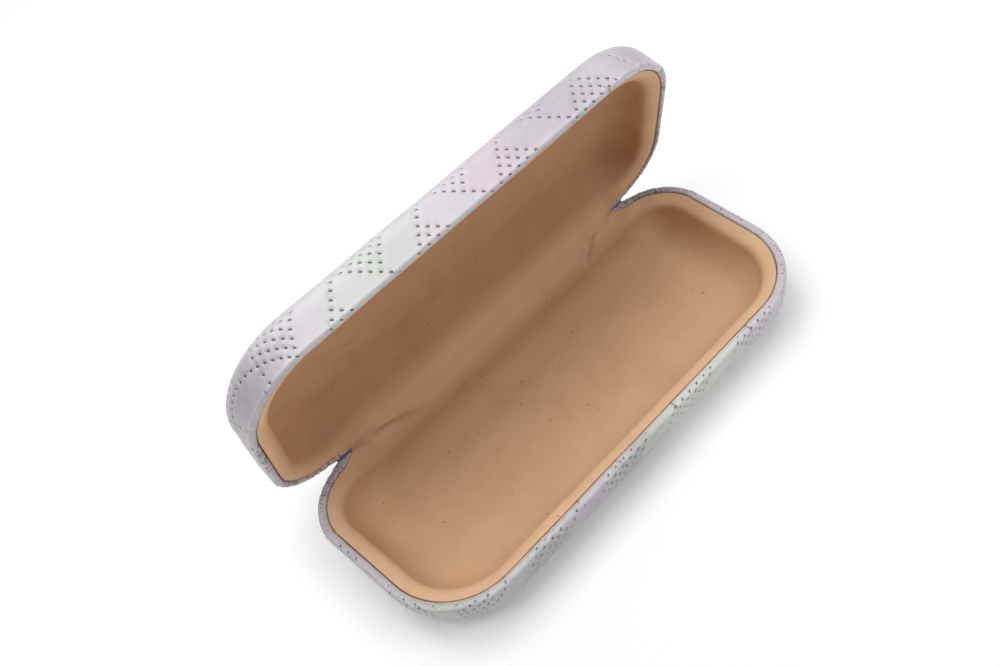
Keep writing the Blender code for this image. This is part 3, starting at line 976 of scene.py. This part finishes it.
MOTTLE = (0.80, 0.78, 0.80)
# Painted highlight on the fold's roll and round the dashes; painted shade on the dash floors and in the gathers.
RIM_HIGHLIGHT_TINT = (0.80, 0.79, 0.81)
DASH_EDGE_HIGHLIGHT = (0.92, 0.91, 0.92)
DASH_FLOOR_SHADE = (0.08, 0.06, 0.08)
GATHER_SHADE = (0.10, 0.085, 0.09)


def leatherette(name, pearl, patches=()):
    """Pearl leatherette: a slow drift of tint along the case, a fine grain, painted shade on the
    dash floors with a painted highlight round their edges, painted shade in the gathers, dark
    patches (the lid's is painted shade), and a painted highlight on the fold over the rim, where it is also
    glossier."""
    paint = Paint(name)
    sheet = paint.attribute("sheet", "Vector")
    along = paint.split(sheet)[0]
    cloud = paint.noise(sheet, 0.035, 3.0, 0.6, 0.8)
    drift = paint.math("MULTIPLY_ADD", cloud, 36.0)
    paint.put(drift.node.inputs[2], along)
    tint = paint.ramp(paint.map(drift, -64.0, 100.0), pearl)
    mottle = paint.noise(sheet, 0.4, 4.0, 0.65)
    tint = paint.mix(paint.map(mottle, 0.35, 0.7, 0.0, 0.16), tint, MOTTLE)
    rim = paint.attribute("rim", "Fac")
    # Painted highlight along the fold's roll over the rim, broken up by the mottle.
    rim_highlight = paint.math("MULTIPLY", rim, paint.map(mottle, 0.3, 0.7, 0.15, 0.35))
    tint = paint.mix(rim_highlight, tint, RIM_HIGHLIGHT_TINT)
    # Dark patches; the lid's one at its right end is painted shade.
    for centre, radius, colour in patches:
        away = paint.distance(sheet, centre)
        tint = paint.mix(paint.map(away, 0.15 * radius, radius, 0.75, 0.0), tint, colour)
    dash = paint.attribute("dash", "Fac")
    pleat = paint.attribute("pleat", "Fac")
    # Painted highlight round each dash's edge, painted shade on its floor.
    tint = paint.mix(paint.map(dash, 0.03, 0.15, 0.0, 0.3), tint, DASH_EDGE_HIGHLIGHT)
    tint = paint.mix(paint.map(dash, 0.25, 0.8, 0.0, 0.85), tint, DASH_FLOOR_SHADE)
    # Painted shade in the gathers of the fold, and over the whole web at each end of the hinge.
    tint = paint.mix(paint.map(pleat, 0.2, 0.85, 0.0, 0.85), tint, GATHER_SHADE)
    grain = paint.voronoi(sheet, 2.6, "SMOOTH_F1")
    fine = paint.noise(sheet, 1.3, 5.0, 0.6)
    wear_and_sheen = paint.math("MULTIPLY", rim, -0.10)
    rough = paint.map(fine, 0.3, 0.7, 0.36, 0.50)
    paint.set(
        Base_Color=tint,
        Roughness=paint.math("ADD", rough, wear_and_sheen),
        Specular_IOR_Level=0.45,
        Coat_Weight=0.35,
        Coat_Roughness=0.24,
        Normal=paint.bump(fine, 0.00012, 0.35, before=paint.bump(grain, 0.00003, 0.35)),
    )
    return paint.material


FLOCK = ((0.585, 0.345, 0.195), (0.64, 0.385, 0.225))
# Paler flock for the painted light in the tray and the painted sheen and wear on the lip and hinge.
SHEEN_AND_WEAR_FLOCK = ((0.87, 0.59, 0.375), (0.92, 0.635, 0.41))
PILE_SHADOW = (0.52, 0.32, 0.19)
LINT = (0.25, 0.12, 0.06)
# Painted shade in the grooves of the tension creases.
CREASE_SHADE = (0.27, 0.13, 0.065)
# Painted shade in the gap between the fold and the lining's edge.
SEAM_SHADE = (0.10, 0.05, 0.03)
SPECK = (0.07, 0.035, 0.02)


def flock():
    """Peach flock: matt with a soft sheen, cloudy where the pile lies over, a few dark specks, paler where light,
    sheen and wear are painted, and painted shade in its creases and along its glued edge.
    """
    paint = Paint("peach_flock")
    rest = paint.attribute("rest", "Vector")
    cloud = paint.noise(rest, 0.05, 4.0, 0.6, 1.0)
    deep = paint.mix(paint.map(cloud, 0.3, 0.7), *FLOCK)
    wear_and_sheen = paint.mix(paint.map(cloud, 0.3, 0.7), *SHEEN_AND_WEAR_FLOCK)
    # Paler where light is painted into the tray and sheen and wear onto the lip and hinge.
    colour = paint.mix(paint.attribute("wear_and_sheen", "Fac"), deep, wear_and_sheen)
    pile = paint.noise(rest, 2.4, 6.0, 0.75)
    colour = paint.mix(paint.map(pile, 0.35, 0.65, 0.0, 0.20), colour, PILE_SHADOW)
    specks = paint.voronoi(rest, 0.17)
    colour = paint.mix(paint.map(specks, 0.035, 0.055, 0.75, 0.0), colour, SPECK)
    lint = paint.voronoi(rest, 0.9)
    colour = paint.mix(paint.map(lint, 0.05, 0.12, 0.22, 0.0), colour, LINT)
    # Painted shade in the grooves of the tension creases.
    crease_shade = paint.math("MULTIPLY", paint.attribute("crease_shade", "Fac"), 0.32)
    colour = paint.mix(crease_shade, colour, CREASE_SHADE)
    # Painted shade along the lining's glued edge, in the gap under the fold.
    seam_shade = paint.math("MULTIPLY", paint.attribute("seam_shade", "Fac"), 0.8)
    colour = paint.mix(seam_shade, colour, SEAM_SHADE)
    nap = paint.noise(rest, 7.0, 3.0, 0.7)
    soft = paint.bump(cloud, 0.0010, 0.25)
    paint.set(
        Base_Color=colour,
        Roughness=0.95,
        Specular_IOR_Level=0.15,
        Sheen_Weight=0.25,
        Sheen_Roughness=0.4,
        Sheen_Tint=(1.0, 0.74, 0.52),
        Normal=paint.bump(nap, 0.00010, 0.5, before=paint.bump(pile, 0.0002, 0.4, before=soft)),
    )
    return paint.material


def metal(name, colour, roughness, grain):
    """Plated or bare metal with a drawn grain and stained patches."""
    paint = Paint(name)
    coordinates = paint.tree.nodes.new("ShaderNodeTexCoord").outputs["Object"]
    stretch = paint.tree.nodes.new("ShaderNodeMapping")
    stretch.inputs["Scale"].default_value = grain
    paint.put(stretch.inputs["Vector"], coordinates)
    lines = paint.noise(stretch.outputs[0], 1.0, 4.0, 0.6)
    stains = paint.noise(coordinates, 160.0, 5.0, 0.65)
    dark = tuple(c * 0.62 for c in colour)
    shade = paint.mix(paint.map(stains, 0.35, 0.75, 0.0, 0.6), colour, dark)
    paint.set(
        Base_Color=shade,
        Metallic=1.0,
        Roughness=paint.map(lines, 0.25, 0.75, roughness - 0.1, roughness + 0.12),
        Normal=paint.bump(lines, 0.00004, 0.3),
    )
    return paint.material


def build_metals():
    finishes = {
        "pressed_steel": metal("pressed_steel", (0.50, 0.50, 0.51), 0.42, (900, 120, 120)),
        "hinge_steel": metal("hinge_steel", (0.58, 0.57, 0.55), 0.34, (150, 2600, 2600)),
        "spring_steel": metal("spring_steel", (0.24, 0.26, 0.32), 0.30, (120, 2400, 2400)),
        "rivet_metal": metal("rivet_metal", (0.72, 0.70, 0.66), 0.28, (1200, 1200, 1200)),
    }
    slots = {part["node"]: part["material_slot"] for part in frame["record"]["subparts"]}
    for name, node in frame["nodes"].items():
        finish = finishes.get(slots[name])
        if finish:
            for material_slot in node.material_slots:
                material_slot.material = finish


# --- the camera, lights and floor ---------------------------------------------------------

CAMERA_AIM = Vector((-0.0041, 0.0202, 0.0257))
CAMERA_DISTANCE = 0.24308
CAMERA_AZIMUTH = -23.80
CAMERA_ELEVATION = 48.555
CAMERA_ROLL = -24.619
CAMERA_LENS = 28.83


def aim(obj, azimuth, elevation, distance, target, roll=0.0):
    """Stands obj at that distance from target, looking at it."""
    a, e = math.radians(azimuth), math.radians(elevation)
    back = Vector((math.sin(a) * math.cos(e), -math.cos(a) * math.cos(e), math.sin(e)))
    right = Vector((0, 0, 1)).cross(back).normalized()
    up = back.cross(right)
    r = math.radians(roll)
    turned = right * math.cos(r) + up * math.sin(r)
    axes = Matrix((turned, back.cross(turned), back)).transposed()
    obj.matrix_world = Matrix.LocRotScale(target + back * distance, axes.to_quaternion(), None)


WORLD_STRENGTH = 0.13
LIGHT_AIM = Vector((0, 0.01, 0.02))
LIGHT_DISTANCE = 0.9
LIGHT_SIZE = 0.5
# Name, azimuth, elevation and watts of each soft light.
STUDIO_LIGHTS = (
    ("left", -100, 60, 1.9),
    ("top", 0, 88, 1.35),
    ("right", 100, 60, 0.9),
    ("low_back", 180, 35, 1.3),
    ("back", 180, 65, 2.35),
    ("front", 40, 45, 1.85),
)


def build_camera():
    data = bpy.data.cameras.new("camera")
    data.lens = CAMERA_LENS
    camera = bpy.data.objects.new("camera", data)
    bpy.context.scene.collection.objects.link(camera)
    aim(camera, CAMERA_AZIMUTH, CAMERA_ELEVATION, CAMERA_DISTANCE, CAMERA_AIM, CAMERA_ROLL)
    bpy.context.scene.camera = camera


def area_light(name, azimuth, elevation, watts):
    data = bpy.data.lights.new(name, "AREA")
    data.shape = "DISK"
    data.size = LIGHT_SIZE
    data.energy = watts
    light = bpy.data.objects.new(name, data)
    bpy.context.scene.collection.objects.link(light)
    aim(light, azimuth, elevation, LIGHT_DISTANCE, LIGHT_AIM)


def build_studio():
    scene = bpy.context.scene
    scene.view_settings.view_transform = "Standard"
    world = bpy.data.worlds.new("studio")
    scene.world = world
    world.use_nodes = True
    background = world.node_tree.nodes["Background"]
    background.inputs["Color"].default_value = (1, 1, 1, 1)
    background.inputs["Strength"].default_value = WORLD_STRENGTH
    for name, azimuth, elevation, watts in STUDIO_LIGHTS:
        area_light(name, azimuth, elevation, watts)
    bpy.ops.mesh.primitive_plane_add(size=6, location=(0, 0, -0.0001))
    floor = bpy.context.object
    floor.name = "floor"
    paint = bpy.data.materials.new("floor_paint")
    paint.use_nodes = True
    shader = paint.node_tree.nodes["Principled BSDF"]
    shader.inputs["Base Color"].default_value = (0.95, 0.95, 0.95, 1)
    shader.inputs["Emission Color"].default_value = (1, 1, 1, 1)
    shader.inputs["Emission Strength"].default_value = 0.11
    shader.inputs["Roughness"].default_value = 0.9
    floor.data.materials.append(paint)


build_camera()
build_studio()
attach(build_skin("skin_base", BASE, BASE_LATTICE, "base_cover", 11), "base")
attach(build_skin("skin_lid", LID, LID_LATTICE, "lid_cover", 23), "lid")
build_lining()
build_spine()
build_ears()
build_metals()
